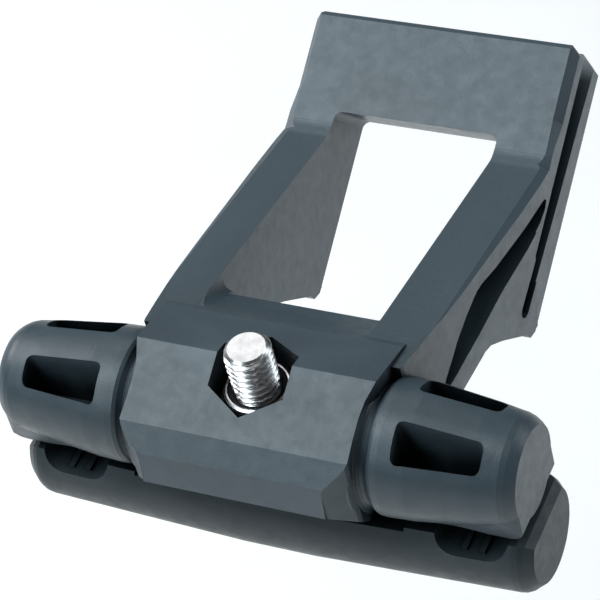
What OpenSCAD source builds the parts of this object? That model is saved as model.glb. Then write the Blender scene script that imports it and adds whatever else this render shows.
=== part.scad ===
// Two-jaw saddle rail clamp with a slide plate carried on two arms.
// Frame: X across the saddle, +Y back along the rails, +Z up along the clamp bolt.
// Origin: on the bolt axis, midway between the rails, on the plane where the jaws part.

/* [Rails] */
// Distance between the two saddle rail centres
rail_spacing = 44; // [40:0.5:46]
// Diameter of a saddle rail
rail_d = 7; // [6:0.1:8]
// Depth of the lower jaw's rail groove below its land
groove_depth = 1.9; // [1.6:0.1:2.2]
// Width of the lower jaw's rail groove at its land
groove_w = 7.7; // [7.2:0.1:8.4]
// Depth of the shallow rail seat in the upper jaw
seat_depth = 0.8; // [0.3:0.1:1.2]

/* [Upper jaw] */
// Half length of the upper jaw, end face to middle
jaw_half = 28.4; // [28:0.05:30]
// Height of the barrel axis above the parting plane
barrel_z = 5.7; // [5.2:0.1:6.2]
// Barrel radius beside the centre block
barrel_r_in = 7.05; // [6.8:0.05:7.2]
// Barrel radius near its outer end
barrel_r_out = 5.8; // [5.6:0.02:6]
// Half width of the flat underside
jaw_flat = 4.4; // [3.8:0.1:5]
// Length of each barrel window along the barrel
win_len = 8.9; // [7:0.05:9.6]
// Distance of a barrel window's middle from the bolt axis
win_x = 20.6; // [20.4:0.05:20.8]

/* [Centre block] */
// Half width of the block at its nose
nose_half = 10; // [8:0.1:11]
// Half width of the block at the valley line
block_half = 12.4; // [12.2:0.05:12.6]
// Height of the block's ridge above the parting plane
ridge_z = 14.1; // [13.7:0.1:14.4]
// Width across flats of the nut pocket
pocket_af = 8.2; // [8.1:0.05:8.6]
// Height of the nut pocket's floor
pocket_z = 6.0; // [5:0.1:6.6]
// Diameter of the bolt hole through both jaws
bolt_hole_d = 5.4; // [5.2:0.1:6]

/* [Arms and slide plate] */
// Half width over the two arms and the slide plate
arm_half = 15.5; // [15:0.1:16]
// Half width of the window between the arms
window_half = 9.55; // [8.4:0.05:9.6]
// How far the window sits off centre
window_shift = -0.5; // [-0.6:0.1:0]
// Wall left between the window and each side pocket
inner_wall = 1.5; // [1.2:0.1:2]
// Angle of the slide plate from the rail plane
plate_angle = 28; // [24:0.5:32]
// Width of the slide slots
slot_w = 2.5; // [2:0.1:3]
// Depth of the slide slots from the side
slot_depth = 4; // [2.5:0.1:4.5]
// Thickness of the slide plate's back flange
flange_t = 3.3; // [2.5:0.1:4]
// Length of the back flange along the slide direction
flange_len = 31.9; // [28:0.1:34]

/* [Lower jaw] */
// Half length of the lower jaw
bar_half = 28.2; // [28:0.1:29.4]
// How far the loose lower jaw sits off centre
bar_shift = 0.8; // [0:0.1:1]
// Depth of the lower jaw's axis below the parting plane
bar_z = 4.0; // [3.6:0.1:4.4]
// Radius of the lower jaw at the middle
bar_r_mid = 6.8; // [6.6:0.05:7]
// Radius of the lower jaw near its ends
bar_r_end = 6.05; // [5.8:0.05:6.2]
// Gap between the closed jaws
jaw_gap = 0.3; // [0.1:0.05:0.6]

/* [Bolt and nut] */
// Nominal diameter of the clamp bolt
bolt_d = 5; // [4.8:0.1:5]
// Length of the bolt under its head
bolt_len = 20; // [18:0.5:22]
// Height of the bolt's tip above the parting plane
tip_z = 16.7; // [15.5:0.1:17]
// Diameter of the bolt head
head_d = 8.5; // [8:0.1:9]
// Height of the bolt head
head_h = 5; // [4:0.1:5]
// Width across flats of the nut
nut_af = 8; // [7.6:0.05:8]
// Height of the nut with its collar
nut_h = 5; // [4.6:0.1:5]
// Height of the nut's hexagon
nut_hex_h = 3.7; // [3:0.1:3.9]
// Outside diameter of the washer
washer_d = 10; // [9:0.1:10]
// Thickness of the washer
washer_t = 1; // [0.6:0.1:1.2]

/* [Hidden] */
RN = 96;
rail_x = rail_spacing / 2;
rail_r = rail_d / 2;
land_z = -jaw_gap;
groove_r = 2.3;
groove_z = land_z - groove_depth + groove_r;
groove_half = groove_w / 2 - groove_r;
seat_r = 9;
seat_z = seat_depth - seat_r;
pocket_r = pocket_af / 2 / cos(30);
head_seat_z = tip_z - bolt_len;
plate_lift = 13.4;
face_d = -26.35;
lip_d = -29.1;
flange_d = lip_d - slot_w;
back_d = flange_d - flange_t;
flange_t0 = 14.8;
flange_t1 = flange_t0 + flange_len;
face_t1 = 45.7;
slate = [0.29, 0.33, 0.36];
dark = [0.27, 0.31, 0.34];
steel = [0.80, 0.81, 0.82];

// Prism: polygon of [y, z] points run along X between two stations.
module run_x(x0, x1, pts) {
    translate([x0, 0, 0]) rotate([90, 0, 90]) linear_extrude(x1 - x0) polygon(pts);
}

// Prism: polygon of [x, z] points run along Y through the whole part.
module run_y(pts) {
    translate([0, 40, 0]) rotate([90, 0, 0]) linear_extrude(80) polygon(pts);
}

// Half space beyond the plane through three points, on the side the normal points to.
module beyond(a, b, c, s = 12) {
    n = cross(b - a, c - a) / norm(cross(b - a, c - a));
    translate(a) rotate([0, acos(n[2]), atan2(n[1], n[0])])
        translate([-s, -s, 0]) cube([2 * s, 2 * s, 4]);
}

// Solid of revolution about the X axis: polygon of [x, r] points, at height z.
module turn_x(z, pts) {
    translate([0, 0, z]) rotate([0, 90, 0])
        rotate_extrude($fn = RN) polygon([for (p = pts) [p[1], p[0]]]);
}

// Slide plate coordinates: X, distance up the slide, height normal to it.
module on_plate() {
    translate([0, 0, plate_lift]) rotate([plate_angle, 0, 0]) children();
}

// Closed polygon with each corner eased over a length r.
function soft(p, r, k = 4) = [for (i = [0:len(p) - 1])
    let (a = p[(i + len(p) - 1) % len(p)], b = p[i], c = p[(i + 1) % len(p)],
        s = b + (a - b) / norm(a - b) * r, e = b + (c - b) / norm(c - b) * r)
    for (j = [0:k]) let (t = j / k) (1 - t) * (1 - t) * s + 2 * t * (1 - t) * b + t * t * e];

// Arc points from angle a0 to a1 about a centre.
function arc(cy, cz, r, a0, a1, k) = [for (j = [0:k]) let (a = a0 + (a1 - a0) * j / k)
    [cy + r * cos(a), cz + r * sin(a)]];

// One barrel of the upper jaw with its flat underside.
module barrel() {
    // round part, with a shallow cove beside the block and a rounded end
    intersection() {
        turn_x(barrel_z, [[0, 0], [0, 6.25], [13.0, 6.25], [13.3, 6.36], [13.55, 6.58],
            [13.75, 6.82], [14.1, barrel_r_in - 0.04], [14.8, barrel_r_in], [17.5, barrel_r_in - 0.12],
            [20, 6.62], [24, 6.14], [jaw_half - 2.3, barrel_r_out], [jaw_half - 1.6, barrel_r_out - 0.1],
            [jaw_half - 1.0, barrel_r_out - 0.3], [jaw_half - 0.45, barrel_r_out - 0.62],
            [jaw_half, barrel_r_out - 1.0], [jaw_half, 0]]);
        translate([0, -20, 0]) cube([40, 40, 40]);
    }
    // flat foot, its end eased like the barrel's
    intersection() {
        run_x(0, jaw_half, concat([[-jaw_flat + 0.5, 0], [-jaw_flat + 0.1, 0.2], [-jaw_flat - 0.1, 0.6],
            [-barrel_r_out + 0.3, 4.0], [-barrel_r_out + 0.3, barrel_z], [barrel_r_out - 0.3, barrel_z],
            [barrel_r_out - 0.3, 4.0], [jaw_flat + 0.1, 0.6], [jaw_flat - 0.1, 0.2], [jaw_flat - 0.5, 0]]));
        run_y([[0, 0], [jaw_half - 2.0, 0], [jaw_half - 1.3, 0.25], [jaw_half - 0.6, 0.8],
            [jaw_half, 1.6], [jaw_half, 8], [0, 8]]);
        linear_extrude(12) polygon([[0, -5.5], [jaw_half - 2.3, -5.5], [jaw_half - 1.6, -5.45],
            [jaw_half - 1.0, -5.25], [jaw_half - 0.45, -4.95], [jaw_half, -4.6],
            [jaw_half, 4.6], [jaw_half - 0.45, 4.95], [jaw_half - 1.0, 5.25],
            [jaw_half - 1.6, 5.45], [jaw_half - 2.3, 5.5], [0, 5.5]]);
    }
}

// Outline of the block from the side, as [y, z].
function block_side() = [[-5.5, 0], [-9.5, 4.4], [-9.0, 8.2], [-6.95, ridge_z - 3.7],
    [0.8, ridge_z], [7.0, ridge_z - 1.66], [12.2, ridge_z - 4.75], [11.4, 3], [8.5, 0]];

// Half plan of the block: corners cut back, sides slightly hollow.
function block_plan() = [[nose_half, -12], [nose_half, -9.1], [block_half - 0.8, -7.85],
    [block_half - 0.2, -7.3], [block_half, -6.8], [block_half - 0.1, -4.8], [block_half - 0.1, -2.8],
    [block_half + 0.05, -1.2], [block_half + 0.35, -0.2], [block_half + 0.65, 0.8],
    [block_half + 0.8, 8], [block_half + 0.8, 14]];

// Faceted centre block with its corners cut back in plan.
module block() {
    intersection() {
        run_x(-16, 16, block_side());
        union() {
            linear_extrude(40) polygon(concat(block_plan(),
                [for (i = [len(block_plan()) - 1:-1:0]) [-block_plan()[i][0], block_plan()[i][1]]]));
            // cove from the block's side down to the neck
            for (m = [0, 1]) mirror([m, 0, 0])
                turn_x(barrel_z, [[0, 0], [0, 7.7], [block_half - 0.3, 7.7],
                    [block_half, 7.0], [block_half + 0.2, 6.65], [block_half + 0.45, 6.4],
                    [block_half + 0.8, 6.27], [block_half + 1.2, 6.26], [block_half + 1.2, 0]]);
        }
    }
}

// Both arms and the slide plate from the side, as [y, z].
module arm_side() {
    // fold between arm and plate eased by a small arc
    fold_r = 3;
    ft = fold_r * tan((plate_angle + 11.8) / 2);
    ca = [40.5 - ft * cos(11.8) + fold_r * sin(11.8), 5.13 + ft * sin(11.8) + fold_r * cos(11.8)];
    run_x(-arm_half - 0.2, arm_half + 0.2, concat([[4, 12.75]],
        arc(ca[0], ca[1], fold_r, -101.8, -90 + plate_angle, 8),
        [[43.9, 4.6], [36, 2], [34, 0.4],
        [31, -9.8], [29.6, -9.6], [23.1, -3.7], [20.6, -1.7], [19.2, -1.2], [8, -0.6], [4, 1]]));
    on_plate() {
        // front plate
        run_x(-arm_half, arm_half, [[20, lip_d], [face_t1, lip_d], [face_t1, face_d - 0.6],
            [face_t1 - 0.6, face_d], [29.4, face_d], [20, -28]]);
        // neck
        run_x(-arm_half + slot_depth, arm_half - slot_depth,
            [[17.2, lip_d + 1], [face_t1, lip_d + 1], [face_t1, flange_d - 1], [17.2, flange_d - 1]]);
        // back flange, its front side leaning away towards the open end of the slots
        run_x(-arm_half, arm_half, [[flange_t0 + 1, back_d], [flange_t1 - 0.4, back_d], [flange_t1, back_d + 0.4],
            [flange_t1, flange_d - 1.3], [43.5, flange_d - 1.3], [38, flange_d - 0.8], [30, flange_d - 0.3], [20.3, flange_d + 0.5], [16, flange_d + 0.5],
            [flange_t0, flange_d + 0.5], [flange_t0, back_d + 1]]);
        // solid foot under the slot
        run_x(-arm_half, arm_half, [[flange_t0, lip_d + 1.5], [16.2, lip_d + 1.5],
            [16.2, flange_d - 0.5], [flange_t0, flange_d - 0.5]]);
    }
}

// Plan outline that trims the arms.
module arm_plan() {
    translate([0, 0, -30]) linear_extrude(80) polygon([
        [-13.9, 3], [13.9, 3], [14.2, 4.5], [14.5, 7.6], [14.95, 13], [15.2, 18.5], [arm_half - 0.1, 26],
        [arm_half + 0.1, 32], [arm_half + 0.15, 38], [arm_half, 42], [arm_half, 70],
        [-arm_half, 70], [-arm_half, 42], [-arm_half - 0.15, 38], [-arm_half - 0.1, 32],
        [-arm_half + 0.1, 26], [-15.2, 18.5], [-14.95, 13], [-14.5, 7.6], [-14.2, 4.5]]);
}

// Leaf-shaped pocket in the outside of one arm.
module side_pocket() {
    run_x(window_half - window_shift + inner_wall, 20, [[38.5, 2.0], [38.1, 2.75], [37.2, 3.05], [33.3, 3.8],
        [29.1, 4.75], [24.9, 5.75], [21.4, 6.9], [20.2, 7.1], [19.2, 7.0], [17.2, 6.6], [14.3, 5.6],
        [10.9, 3.6], [10.2, 2.8], [11.0, 2.1], [13.9, 2.1], [17.5, 2.0], [21.2, 1.9], [25.2, 1.8],
        [29.3, 1.35], [33, 1.0], [36.2, 0.9], [37.9, 1.35]]);
}

module plate_trims() {
    for (m = [0, 1]) mirror([m, 0, 0]) {
        // arm's outer front edge eased, running out towards the block
        intersection() {
            beyond([14.75, 36, 6.07], [14.75, 26, 8.16], [arm_half + 0.15, 26, 7.7], s = 40);
            translate([12, 9, 0]) cube([5, 31.4, 14]);
        }
        // slanted side edge of the front plate running out round the fold
        intersection() {
            beyond([14.75, 40.5, 5.13], [15.65, 40.5, 4.67], [14.7, 45.03, 7.50], s = 12);
            translate([12, 40.3, 0]) cube([5, 5.5, 12]);
        }
    }
    on_plate() for (m = [0, 1]) mirror([m, 0, 0]) {
        // slanted side edge of the front plate
        translate([0, 37, 0]) rotate([-90, 0, 0]) linear_extrude(28)
            polygon([[14.65, -face_d], [17, -face_d - 1], [17, -face_d + 1.2], [arm_half, -face_d + 1.1]]);
        // the same edge running out below it
        multmatrix([[1, 0, 0, 0], [0, 1, 0, 0], [0, -0.24, 1, 0.24 * 37], [0, 0, 0, 1]])
            translate([0, 31, 0]) rotate([-90, 0, 0]) linear_extrude(6.02)
                polygon([[14.65, -face_d], [17, -face_d - 1], [17, -face_d + 1.2], [arm_half, -face_d + 1.1]]);
        // corner cuts at the top of the front plate
        translate([0, 0, lip_d - 0.2]) linear_extrude(6)
            polygon([[arm_half - 1.0, face_t1 + 0.1], [arm_half + 0.1, face_t1 - 1.0], [20, face_t1 - 1], [20, 60], [arm_half - 1.0, 60]]);
        // corner cuts at the top of the flange
        translate([0, 0, back_d - 1]) linear_extrude(flange_t + 1.5)
            polygon([[arm_half - 1.7, flange_t1 + 0.1], [arm_half + 0.1, flange_t1 - 1.7], [20, flange_t1 - 1.7], [20, 60], [arm_half - 1.7, 60]]);
        // slide slot with a closed lower end
        translate([arm_half - slot_depth, 0, 0]) rotate([90, 0, 90]) linear_extrude(10)
            polygon([[16.0, lip_d - 0.7], [16.25, lip_d - 0.25], [16.8, lip_d], [60, lip_d],
                [60, flange_d - 1.3], [43.5, flange_d - 1.3], [38, flange_d - 0.8], [30, flange_d - 0.3],
                [20.3, flange_d + 0.5], [16.8, flange_d + 0.45],
                [16.25, lip_d - 1.7], [16.0, lip_d - 1.25]]);
    }
}

// Window between the arms, open through the plate and behind the block.
module centre_window() {
    translate([window_shift, 0, 0]) difference() {
        run_x(-window_half, window_half, [[11.42, 3], [12.22, ridge_z - 4.75], [7.03, ridge_z - 1.66],
            [8.0, 18], [20, 22], [38.5, 13], [42.75, 6.28], [48.2, -0.5], [50, -4], [40, -20], [20, -20], [10.5, -3]]);
        // round corners at the foot, below the arms' front faces
        for (m = [0, 1]) mirror([m, 0, 0]) intersection() {
            translate([window_half, 7.03, ridge_z - 1.66]) rotate([-30.8, 0, 0]) difference() {
                translate([-1.1, -6, -1]) cube([2.2, 13, 2.1]);
                translate([-1.1, -7, 1.1]) rotate([-90, 0, 0]) cylinder(h = 16, r = 1.1, $fn = 64);
            }
            run_x(-12, 12, [[4, 12.73], [20, 9.39], [20, 4], [4, 4]]);
        }
        // round corners at the top
        on_plate() for (m = [0, 1]) mirror([m, 0, 0]) translate([window_half, 34.4, face_d])
            rotate([11, 0, 0]) difference() {
                translate([-0.9, -0.9, -14]) cube([2, 2, 15]);
                translate([-0.9, -0.9, -15]) cylinder(h = 17, r = 0.9, $fn = 48);
            }
    }
}

// Vertical pockets that open as windows on a barrel's front and back.
module barrel_windows() {
    x0 = win_x - win_len / 2;
    x1 = win_x + win_len / 2;
    translate([0, 0, 5.6]) linear_extrude(12)
        polygon(soft([[x0, -1.95], [x1, -1.95], [x1, -4.65], [x0, -5.65]], 0.8));
    translate([0, 0, 2.2]) linear_extrude(16)
        polygon(soft([[x0 + 0.5, 2.05], [x1 + 0.05, 2.05], [x1 + 0.05, 4.4], [x0 + 0.5, 5.0]], 0.8));
}

module bracket() {
    color(slate) difference() {
        union() {
            for (m = [0, 1]) mirror([m, 0, 0]) barrel();
            block();
            intersection() { arm_side(); arm_plan(); }
        }
        centre_window();
        plate_trims();
        for (m = [0, 1]) mirror([m, 0, 0]) {
            side_pocket();
            barrel_windows();
            // shallow rail seat in the flat underside
            translate([rail_x - 0.6, 20, seat_z]) rotate([90, 0, 0]) cylinder(h = 40, r = seat_r, $fn = RN);
            // low arched relief beside the block
            translate([14.6, 7, -2.1]) rotate([90, 0, 0]) cylinder(h = 27, r = 2.8, $fn = 48);
        }
        translate([0, 0, -1]) cylinder(h = 30, d = bolt_hole_d, $fn = 64);
        translate([0, 0, pocket_z]) rotate([0, 0, 30]) cylinder(h = 20, r = pocket_r, $fn = 6);
    }
}

// Lock nut: hexagon with a crimped round collar above it.
module clamp_nut() {
    color(steel) translate([0, 0, pocket_z]) difference() {
        union() {
            intersection() {
                rotate([0, 0, 30]) cylinder(h = nut_hex_h, r = nut_af / 2 / cos(30), $fn = 6);
                rotate_extrude($fn = 64) polygon([[0, 0], [3.9, 0], [4.7, 0.4], [4.7, nut_hex_h - 0.45], [3.9, nut_hex_h], [0, nut_hex_h]]);
            }
            rotate_extrude($fn = 64) polygon([[0, nut_hex_h - 0.2], [3.75, nut_hex_h - 0.2], [3.75, nut_h - 0.75],
                [3.68, nut_h - 0.42], [3.5, nut_h - 0.15], [3.25, nut_h], [0, nut_h]]);
        }
        translate([0, 0, -1]) cylinder(h = nut_h + 2, d = bolt_d + 0.1, $fn = 64);
        // seat of the insert, with the crimped lip over it
        translate([0, 0, nut_h - 1.5]) cylinder(h = 1.25, r = 3.35, $fn = 64);
        translate([0, 0, nut_h - 0.5]) cylinder(h = 1, r = 3.1, $fn = 64);
    }
}

module nut_insert() {
    color([0.10, 0.10, 0.11]) translate([0, 0, pocket_z + nut_h - 1.48]) difference() {
        cylinder(h = 1.2, r = 3.33, $fn = 64);
        translate([0, 0, -1]) cylinder(h = 4, d = bolt_d + 0.04, $fn = 64);
    }
}

module clamp_bar() {
    color(dark) difference() {
        translate([bar_shift, 0, 0]) difference() {
            turn_x(-bar_z, [[-bar_half, 0], [-bar_half, bar_r_end - 1.15], [-bar_half + 0.45, bar_r_end - 0.75],
                [-bar_half + 0.9, bar_r_end - 0.35], [-bar_half + 1.4, bar_r_end - 0.1], [-bar_half + 2.0, bar_r_end],
                [-19, 6.3], [-10, bar_r_mid - 0.2],
                [-4, bar_r_mid], [4, bar_r_mid], [10, bar_r_mid - 0.2], [19, 6.3],
                [bar_half - 2.0, bar_r_end], [bar_half - 1.4, bar_r_end - 0.1],
                [bar_half - 0.9, bar_r_end - 0.35], [bar_half - 0.45, bar_r_end - 0.75], [bar_half, bar_r_end - 1.15], [bar_half, 0]]);
            translate([-40, -20, land_z]) cube([80, 40, 20]);
            // land stepped down under the block
            translate([-15, -20, land_z - 0.35]) cube([30, 40, 5]);
            // ends of the land eased
            for (m = [0, 1]) mirror([m, 0, 0]) run_y([[bar_half - 1.6, land_z + 0.01], [bar_half - 0.8, land_z - 0.3],
                [bar_half + 0.1, land_z - 1.0], [bar_half + 1, 2], [bar_half - 1.6, 2]]);
            // flat-bottomed rail grooves with round corners and two low grip ribs
            for (m = [-1, 1]) difference() {
                translate([m * rail_x, 20, groove_z]) rotate([90, 0, 0]) {
                    for (n = [-1, 1]) translate([n * groove_half, 0, 0]) cylinder(h = 40, r = groove_r, $fn = 64);
                    translate([-groove_half, -groove_r, 0]) cube([2 * groove_half, 2 * groove_r + 4, 40]);
                }
                for (n = [-1, 1]) translate([m * rail_x + n * 0.95 - 0.3, -5.0, groove_z - groove_r - 1])
                    cube([0.6, 10.0, 1.25]);
            }
        }
        // slotted bolt hole and washer seat, so the jaw can centre itself
        for (x = [-1, 1]) {
            translate([bar_shift + x, 0, -20]) cylinder(h = 30, d = bolt_hole_d, $fn = 64);
            translate([bar_shift + x, 0, -20]) cylinder(h = 20 + head_seat_z + washer_t, d = washer_d + 0.3, $fn = 64);
        }
        translate([bar_shift - 1, -bolt_hole_d / 2, -20]) cube([2, bolt_hole_d, 30]);
        translate([bar_shift - 1, -washer_d / 2 - 0.15, -20]) cube([2, washer_d + 0.3, 20 + head_seat_z + washer_t]);
    }
}

module clamp_bolt() {
    color(steel) difference() {
        union() {
            translate([0, 0, head_seat_z]) cylinder(h = bolt_len - 0.5, d = bolt_d, $fn = 64);
            translate([0, 0, tip_z - 0.5]) cylinder(h = 0.5, r1 = bolt_d / 2, r2 = bolt_d / 2 - 0.5, $fn = 64);
            translate([0, 0, head_seat_z - head_h]) cylinder(h = 0.5, r1 = head_d / 2 - 0.4, r2 = head_d / 2, $fn = 64);
            translate([0, 0, head_seat_z - head_h + 0.5]) cylinder(h = head_h - 0.5, d = head_d, $fn = 64);
        }
        translate([0, 0, head_seat_z - head_h - 1]) cylinder(h = 3.5, r = 4 / 2 / cos(30), $fn = 6);
    }
}

module washer() {
    color(steel) translate([0, 0, head_seat_z]) difference() {
        cylinder(h = washer_t, d = washer_d, $fn = 64);
        translate([0, 0, -1]) cylinder(h = washer_t + 2, d = bolt_d + 0.3, $fn = 64);
    }
}

bracket();
clamp_nut();
nut_insert();
clamp_bar();
clamp_bolt();
washer();
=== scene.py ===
import math
import bpy
import bmesh
from mathutils import Vector, Matrix


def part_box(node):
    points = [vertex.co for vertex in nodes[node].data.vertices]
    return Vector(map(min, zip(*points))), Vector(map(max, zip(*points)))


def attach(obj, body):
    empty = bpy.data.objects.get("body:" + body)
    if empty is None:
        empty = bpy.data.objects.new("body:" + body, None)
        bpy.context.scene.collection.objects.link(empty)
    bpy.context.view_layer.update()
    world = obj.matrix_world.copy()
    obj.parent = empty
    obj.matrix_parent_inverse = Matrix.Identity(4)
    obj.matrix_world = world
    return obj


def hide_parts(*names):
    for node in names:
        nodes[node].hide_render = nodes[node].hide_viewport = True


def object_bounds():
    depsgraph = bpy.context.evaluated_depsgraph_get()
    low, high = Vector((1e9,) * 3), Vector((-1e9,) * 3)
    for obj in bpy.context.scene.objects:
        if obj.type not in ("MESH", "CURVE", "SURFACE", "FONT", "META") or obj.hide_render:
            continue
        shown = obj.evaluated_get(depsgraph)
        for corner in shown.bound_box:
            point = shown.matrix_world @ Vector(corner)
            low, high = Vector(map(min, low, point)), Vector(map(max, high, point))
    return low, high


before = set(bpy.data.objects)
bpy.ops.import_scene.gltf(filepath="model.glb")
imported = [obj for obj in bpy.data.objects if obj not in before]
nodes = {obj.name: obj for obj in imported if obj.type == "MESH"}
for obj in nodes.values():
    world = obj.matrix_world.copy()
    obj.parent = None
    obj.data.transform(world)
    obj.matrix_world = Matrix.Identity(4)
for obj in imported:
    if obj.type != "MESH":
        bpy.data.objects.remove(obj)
lo0, hi0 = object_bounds()
cad_box = [list(map(float, lo0)), list(map(float, hi0))]

MM = 0.001


# ---------------------------------------------------------------- materials
def new_mat(name):
    m = bpy.data.materials.new(name)
    m.use_nodes = True
    nt = m.node_tree
    for n in list(nt.nodes):
        nt.nodes.remove(n)
    out = nt.nodes.new("ShaderNodeOutputMaterial")
    bsdf = nt.nodes.new("ShaderNodeBsdfPrincipled")
    nt.links.new(bsdf.outputs["BSDF"], out.inputs["Surface"])
    return m, nt, bsdf


def noise(nt, coord, scale, detail=4.0, rough=0.55):
    n = nt.nodes.new("ShaderNodeTexNoise")
    n.inputs["Scale"].default_value = scale
    n.inputs["Detail"].default_value = detail
    n.inputs["Roughness"].default_value = rough
    nt.links.new(coord, n.inputs["Vector"])
    return n.outputs["Fac"]


def ramp(nt, fac, stops):
    r = nt.nodes.new("ShaderNodeValToRGB")
    els = r.color_ramp.elements
    while len(els) < len(stops):
        els.new(0.5)
    for e, (p, c) in zip(els, stops):
        e.position = p
        e.color = c if len(c) == 4 else (*c, 1.0)
    nt.links.new(fac, r.inputs["Fac"])
    return r.outputs["Color"]


def maprange(nt, fac, a, b, c, d):
    r = nt.nodes.new("ShaderNodeMapRange")
    for k, v in zip(("From Min", "From Max", "To Min", "To Max"), (a, b, c, d)):
        r.inputs[k].default_value = v
    nt.links.new(fac, r.inputs["Value"])
    return r.outputs["Result"]


def mix(nt, fac, a, b, mode="MIX"):
    m = nt.nodes.new("ShaderNodeMix")
    m.data_type = "RGBA"
    m.blend_type = mode
    if hasattr(fac, "links"):
        nt.links.new(fac, m.inputs["Factor"])
    else:
        m.inputs["Factor"].default_value = fac
    for k, v in (("A", a), ("B", b)):
        sock = [s for s in m.inputs if s.name == k and s.type == "RGBA"][0]
        if hasattr(v, "links"):
            nt.links.new(v, sock)
        else:
            sock.default_value = (*v, 1.0) if len(v) == 3 else v
    return [s for s in m.outputs if s.type == "RGBA"][0]


def plastic(name, base, rough=0.5, spec=0.5, hollow_shade_factor=0.22):
    """Glass-filled moulded plastic: fine texture, slight mottling, worn edges, painted shade in hollows."""
    m, nt, b = new_mat(name)
    tc = nt.nodes.new("ShaderNodeTexCoord").outputs["Object"]
    fine = noise(nt, tc, 5200.0, 3.0, 0.6)
    mid = noise(nt, tc, 700.0, 5.0, 0.6)
    big = noise(nt, tc, 60.0, 3.0, 0.5)
    dark = tuple(c * 0.90 for c in base)
    light = tuple(min(1.0, c * 1.12) for c in base)
    col = ramp(nt, big, [(0.3, dark), (0.7, light)])
    col = mix(nt, maprange(nt, mid, 0.35, 0.7, 0.0, 0.25), col, tuple(c * 0.8 for c in base))
    # edge wear on sharp edges, then painted shade in the hollows
    geo = nt.nodes.new("ShaderNodeNewGeometry")
    edge = maprange(nt, geo.outputs["Pointiness"], 0.52, 0.62, 0.0, 0.35)
    col = mix(nt, edge, col, tuple(min(1.0, c * 1.9 + 0.02) for c in base))
    # painted shade: an ambient-occlusion mask darkens the colour in hollows and recesses, where shade falls,
    # and lowers the specular there too
    ao = nt.nodes.new("ShaderNodeAmbientOcclusion")
    ao.samples = 6
    ao.inputs["Distance"].default_value = 0.0045
    shade = maprange(nt, ao.outputs["AO"], 0.25, 0.72, 0.0, 1.0)
    col = mix(nt, shade, tuple(c * hollow_shade_factor for c in base), col)
    nt.links.new(col, b.inputs["Base Color"])
    r = maprange(nt, mid, 0.3, 0.7, rough - 0.06, rough + 0.08)
    nt.links.new(r, b.inputs["Roughness"])
    sp = maprange(nt, ao.outputs["AO"], 0.25, 0.72, spec * 0.12, spec)
    nt.links.new(sp, b.inputs["Specular IOR Level"])
    bump = nt.nodes.new("ShaderNodeBump")
    bump.inputs["Strength"].default_value = 0.35
    bump.inputs["Distance"].default_value = 0.00006
    nt.links.new(fine, bump.inputs["Height"])
    bump2 = nt.nodes.new("ShaderNodeBump")
    bump2.inputs["Strength"].default_value = 0.25
    bump2.inputs["Distance"].default_value = 0.00012
    nt.links.new(mid, bump2.inputs["Height"])
    nt.links.new(bump.outputs["Normal"], bump2.inputs["Normal"])
    nt.links.new(bump2.outputs["Normal"], b.inputs["Normal"])
    return m


def steel(name, base, rough=0.28):
    """Bright stainless steel with turning marks about Z and small scratches."""
    m, nt, b = new_mat(name)
    tc = nt.nodes.new("ShaderNodeTexCoord").outputs["Object"]
    mp = nt.nodes.new("ShaderNodeMapping")
    mp.inputs["Scale"].default_value = (1.0, 1.0, 14.0)
    nt.links.new(tc, mp.inputs["Vector"])
    lines = noise(nt, mp.outputs["Vector"], 900.0, 3.0, 0.6)
    spots = noise(nt, tc, 900.0, 4.0, 0.55)
    col = ramp(nt, spots, [(0.35, tuple(c * 0.88 for c in base)), (0.7, base)])
    nt.links.new(col, b.inputs["Base Color"])
    b.inputs["Metallic"].default_value = 1.0
    r = maprange(nt, lines, 0.3, 0.7, rough - 0.08, rough + 0.12)
    nt.links.new(r, b.inputs["Roughness"])
    bump = nt.nodes.new("ShaderNodeBump")
    bump.inputs["Strength"].default_value = 0.15
    bump.inputs["Distance"].default_value = 0.00004
    nt.links.new(lines, bump.inputs["Height"])
    nt.links.new(bump.outputs["Normal"], b.inputs["Normal"])
    return m


# the last argument sets how dark the painted shade in hollows gets
M_BRACKET = plastic("bracket_plastic", (0.047, 0.068, 0.083), 0.37, 0.5, 0.07)
M_BAR = plastic("bar_plastic", (0.026, 0.038, 0.045), 0.42, 0.35, 0.07)
M_STEEL = steel("fastener_steel", (0.78, 0.78, 0.79), 0.26)
M_NYLON = plastic("insert_nylon", (0.018, 0.020, 0.022), 0.55, 0.35)
M_WASHER = steel("washer_steel", (0.70, 0.70, 0.71), 0.32)


def set_mat(o, m):
    o.data.materials.clear()
    o.data.materials.append(m)


for n, m in (("bracket", M_BRACKET), ("clamp_bar", M_BAR), ("clamp_bolt", M_STEEL),
             ("clamp_nut", M_STEEL), ("nut_insert", M_NYLON), ("washer", M_WASHER)):
    o = nodes[n]
    set_mat(o, m)
    bv = o.modifiers.new("edges", "BEVEL")
    bv.width = {"bracket": 0.00022, "clamp_bar": 0.0002}.get(n, 0.00012)
    bv.segments = 2
    bv.limit_method = "ANGLE"
    bv.angle_limit = math.radians(28)
    bv.harden_normals = False
    bv.use_clamp_overlap = True


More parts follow.
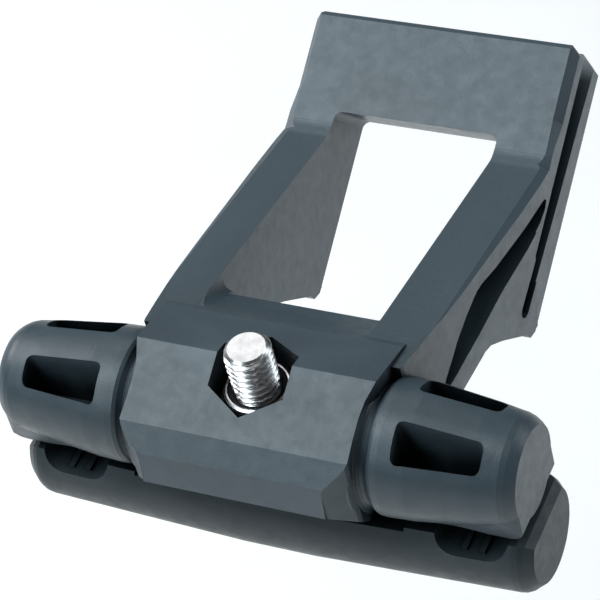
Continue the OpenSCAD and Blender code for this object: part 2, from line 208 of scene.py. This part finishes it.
# ---------------------------------------------------------------- threaded bolt
def build_bolt():
    lo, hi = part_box("clamp_bolt")
    z_tip = hi[2]
    z_head = lo[2]
    head_h = 5.0 * MM
    z_seat = z_head + head_h
    pitch = 0.8 * MM
    r_major, r_minor = 2.48 * MM, 2.08 * MM
    n_th = 72
    step = pitch / 16.0
    bm = bmesh.new()

    def profile(u):
        # crest, flank, root, flank over one pitch
        if u < 0.14:
            return 1.0
        if u < 0.46:
            return 1.0 - (u - 0.14) / 0.32
        if u < 0.64:
            return 0.0
        return (u - 0.64) / 0.36

    z0 = z_seat - 0.2 * MM
    rows = int((z_tip - z0) / step)
    rings = []
    for i in range(rows + 1):
        z = z0 + (z_tip - z0) * i / rows
        top = z_tip - z
        cham = 1.95 * MM + top * 1.0
        ring = []
        for j in range(n_th):
            th = 2 * math.pi * j / n_th
            u = (z / pitch - j / n_th) % 1.0
            r = r_minor + (r_major - r_minor) * profile(u)
            r = min(r, cham)
            ring.append(bm.verts.new((r * math.cos(th), r * math.sin(th), z)))
        rings.append(ring)
    for a, b in zip(rings, rings[1:]):
        for j in range(n_th):
            k = (j + 1) % n_th
            bm.faces.new((a[j], a[k], b[k], b[j]))
    # slightly domed tip face
    last = rings[-1]
    for f, dz in ((0.8, 0.03), (0.4, 0.05)):
        ring = [bm.verts.new((v.co.x / v.co.xy.length * 1.95 * MM * f, v.co.y / v.co.xy.length * 1.95 * MM * f,
                              z_tip + dz * MM * 0.2)) for v in last]
        for j in range(n_th):
            k = (j + 1) % n_th
            bm.faces.new((last[j], last[k], ring[k], ring[j]))
        last = ring
    bm.faces.new(last)

    # head: turned cylinder with a knurled side and a hexagon socket
    def ring_at(r, z, knurl=0.0):
        out = []
        for j in range(144):
            th = 2 * math.pi * j / 144
            rr = r - (knurl if j % 3 == 1 else 0.0)
            out.append(bm.verts.new((rr * math.cos(th), rr * math.sin(th), z)))
        return out

    def hex_ring(af, z):
        out = []
        for j in range(144):
            th = 2 * math.pi * j / 144
            a = (th + math.pi / 6) % (math.pi / 3) - math.pi / 6
            rr = af / 2 / math.cos(a)
            out.append(bm.verts.new((rr * math.cos(th), rr * math.sin(th), z)))
        return out

    def bridge(a, b):
        n = len(a)
        for j in range(n):
            k = (j + 1) % n
            bm.faces.new((a[j], a[k], b[k], b[j]))

    R = 4.25 * MM
    seq = [ring_at(2.2 * MM, z_seat), ring_at(R - 0.15 * MM, z_seat),
           ring_at(R, z_seat - 0.15 * MM), ring_at(R, z_seat - 0.5 * MM),
           ring_at(R, z_seat - 0.6 * MM, 0.12 * MM), ring_at(R, z_seat - 3.9 * MM, 0.12 * MM),
           ring_at(R, z_seat - 4.0 * MM), ring_at(R, z_head + 0.5 * MM),
           ring_at(R - 0.15 * MM, z_head + 0.2 * MM), ring_at(R - 0.4 * MM, z_head),
           ring_at(2.75 * MM, z_head), hex_ring(4.15 * MM, z_head + 0.12 * MM),
           hex_ring(4.0 * MM, z_head + 0.25 * MM), hex_ring(4.0 * MM, z_head + 2.8 * MM)]
    for a, b in zip(seq, seq[1:]):
        bridge(a, b)
    cen = bm.verts.new((0, 0, z_head + 3.3 * MM))
    lastr = seq[-1]
    for j in range(144):
        bm.faces.new((lastr[j], lastr[(j + 1) % 144], cen))
    bmesh.ops.recalc_face_normals(bm, faces=bm.faces[:])
    me = bpy.data.meshes.new("bolt_threaded")
    bm.to_mesh(me)
    bm.free()
    for p in me.polygons:
        p.use_smooth = True
    me.set_sharp_from_angle(angle=math.radians(32))
    me.materials.append(M_STEEL)
    o = bpy.data.objects.new("bolt_threaded", me)
    bpy.context.scene.collection.objects.link(o)
    return o


bolt = build_bolt()
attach(bolt, "bolt_body")
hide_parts("clamp_bolt")

# ---------------------------------------------------------------- stage
floor = bpy.data.meshes.new("floor")
zf = cad_box[0][2] - 0.10
floor.from_pydata([(-3, -3, zf), (3, -3, zf), (3, 3, zf), (-3, 3, zf)], [], [(0, 1, 2, 3)])
floor_o = bpy.data.objects.new("floor", floor)
bpy.context.scene.collection.objects.link(floor_o)
mf, ntf, bf = new_mat("floor_paper")
tcf = ntf.nodes.new("ShaderNodeTexCoord").outputs["Object"]
ff = noise(ntf, tcf, 40.0, 3.0)
ntf.links.new(ramp(ntf, ff, [(0.3, (0.90, 0.90, 0.90)), (0.7, (0.93, 0.93, 0.93))]), bf.inputs["Base Color"])
bf.inputs["Roughness"].default_value = 0.9
bf.inputs["Emission Color"].default_value = (1.0, 0.93, 0.88, 1.0)
bf.inputs["Emission Strength"].default_value = 0.16
floor.materials.append(mf)

world = bpy.data.worlds.new("studio")
bpy.context.scene.world = world
world.use_nodes = True
bg = world.node_tree.nodes["Background"]
bg.inputs["Color"].default_value = (1.0, 1.0, 1.0, 1.0)
bg.inputs["Strength"].default_value = 0.04


def area(name, loc, target, size, power, color=(1.0, 1.0, 1.0)):
    ld = bpy.data.lights.new(name, "AREA")
    ld.shape = "RECTANGLE"
    ld.size = size[0]
    ld.size_y = size[1]
    ld.energy = power
    ld.color = color
    lo = bpy.data.objects.new(name, ld)
    lo.location = loc
    d = Vector(target) - Vector(loc)
    lo.rotation_euler = d.to_track_quat("-Z", "Y").to_euler()
    bpy.context.scene.collection.objects.link(lo)
    return lo


area("key", (-0.2649, -0.1208, 0.5196), (0, 0.02, 0), (0.34, 0.34), 2.0, (0.84, 0.95, 1.0))
area("front", (-0.2544, -0.4206, 0.3180), (0, 0.02, 0), (0.30, 0.30), 0.85, (0.84, 0.95, 1.0))
area("rear_right", (0.3980, 0.3540, 0.3000), (0, 0.02, 0), (0.30, 0.30), 0.85, (0.84, 0.95, 1.0))
area("top", (0.0, -0.0009, 0.5996), (0, 0.02, 0), (0.30, 0.30), 0.45)
area("right", (0.5977, 0.02, 0.0523), (0, 0.02, 0), (0.30, 0.30), 0.22, (0.84, 0.95, 1.0))
area("rear_left", (-0.2373, 0.3717, 0.4243), (0, 0.02, 0), (0.30, 0.30), 0.4)
area("left", (-0.5117, 0.1102, 0.3000), (0, 0.02, 0), (0.30, 0.30), 1.45)

# ---------------------------------------------------------------- camera
cam = bpy.data.cameras.new("camera")
cam.sensor_width = 36.0
cam.lens = 182.44
cam_o = bpy.data.objects.new("camera", cam)
r = Vector((0.90518, 0.38129, -0.18766))
bk = Vector((0.39279, -0.58187, 0.71212)).normalized()
r = (r - r.dot(bk) * bk).normalized()
u = bk.cross(r)
cam_o.matrix_world = Matrix((
    (r.x, u.x, bk.x, 0.12055), (r.y, u.y, bk.y, -0.16731),
    (r.z, u.z, bk.z, 0.23007), (0, 0, 0, 1)))
cam.clip_start = 0.01
bpy.context.scene.collection.objects.link(cam_o)
bpy.context.scene.camera = cam_o
bpy.context.scene.view_settings.view_transform = "Standard"
